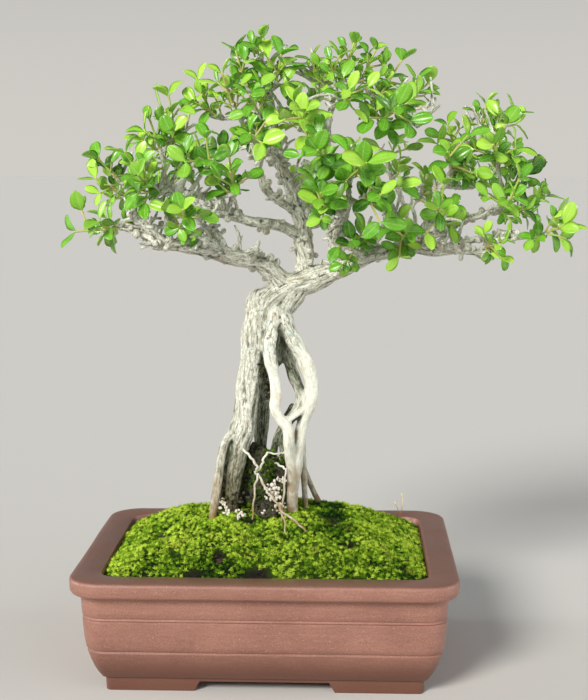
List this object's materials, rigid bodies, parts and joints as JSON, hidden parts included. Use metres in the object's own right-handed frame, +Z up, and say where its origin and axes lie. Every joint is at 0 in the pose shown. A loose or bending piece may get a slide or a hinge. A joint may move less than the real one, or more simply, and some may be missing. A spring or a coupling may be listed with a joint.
{
  "type": "potted bonsai tree",
  "caption": "Premna bonsai with a leaning pale trunk on a small root-gripped stone, growing in a moss mound in an oblong brown stoneware pot.",
  "frame": {"origin": "on the standing plane, under the middle of the whole plant and pot's extent", "axes": "+Z up, -Y towards the side that is shown to the viewer, +X to the viewer's right along the pot's length"},
  "size_m": [0.3515, 0.2057, 0.4476],
  "materials": {
    "brown_stoneware": "matte",
    "drain_mesh": "matte",
    "potting_soil": "matte",
    "cushion_moss": "matte",
    "dark_stone": "matte",
    "pale_bark": "matte",
    "young_leaf": "satin",
    "grown_leaf": "satin"
  },
  "bodies": {
    "root": {"pot": "brown_stoneware", "drain_screen_left": "drain_mesh", "drain_screen_right": "drain_mesh", "soil": "potting_soil", "moss": "cushion_moss", "root_stone": "dark_stone", "wood": "pale_bark", "shoot_far_left": "young_leaf", "shoot_left_low": "grown_leaf", "shoot_left_tip": "young_leaf", "shoot_left_middle": "grown_leaf", "shoot_left_gloss": "young_leaf", "shoot_left_up": "grown_leaf", "shoot_left_crest": "young_leaf", "shoot_left_back": "grown_leaf", "shoot_left_front": "young_leaf", "shoot_left_rosette": "grown_leaf", "shoot_inner_left": "young_leaf", "shoot_saddle_left": "grown_leaf", "shoot_crest_left": "young_leaf", "shoot_crest_middle": "grown_leaf", "shoot_apex": "young_leaf", "shoot_apex_right": "grown_leaf", "shoot_apex_front": "young_leaf", "shoot_face_left": "grown_leaf", "shoot_centre_dark": "young_leaf", "shoot_top_small_left": "grown_leaf", "shoot_top_small_right": "young_leaf", "shoot_top_middle": "grown_leaf", "shoot_top_right_near": "young_leaf", "shoot_gloss_pair": "grown_leaf", "shoot_top_right_high": "young_leaf", "shoot_long_leaves": "grown_leaf", "shoot_top_right_side": "young_leaf", "shoot_centre_up": "grown_leaf", "shoot_middle_rosette": "young_leaf", "shoot_big_front": "grown_leaf", "shoot_big_low": "young_leaf", "shoot_under_middle": "grown_leaf", "shoot_under_right": "young_leaf", "shoot_right_front": "grown_leaf", "shoot_right_inner": "young_leaf", "shoot_right_saddle": "grown_leaf", "shoot_right_crest": "young_leaf", "shoot_right_shoulder": "grown_leaf", "shoot_right_face": "young_leaf", "shoot_right_side": "grown_leaf", "shoot_right_low_front": "young_leaf", "shoot_right_tip_up": "grown_leaf", "shoot_far_right": "young_leaf", "shoot_under_far_right": "grown_leaf", "shoot_back_left_low": "young_leaf", "shoot_back_left_high": "grown_leaf", "shoot_back_crest": "young_leaf", "shoot_back_low": "grown_leaf", "shoot_back_high": "young_leaf", "shoot_back_right_low": "grown_leaf", "shoot_back_right_high": "young_leaf", "shoot_back_right_side": "grown_leaf"}
  },
  "joints": []
}
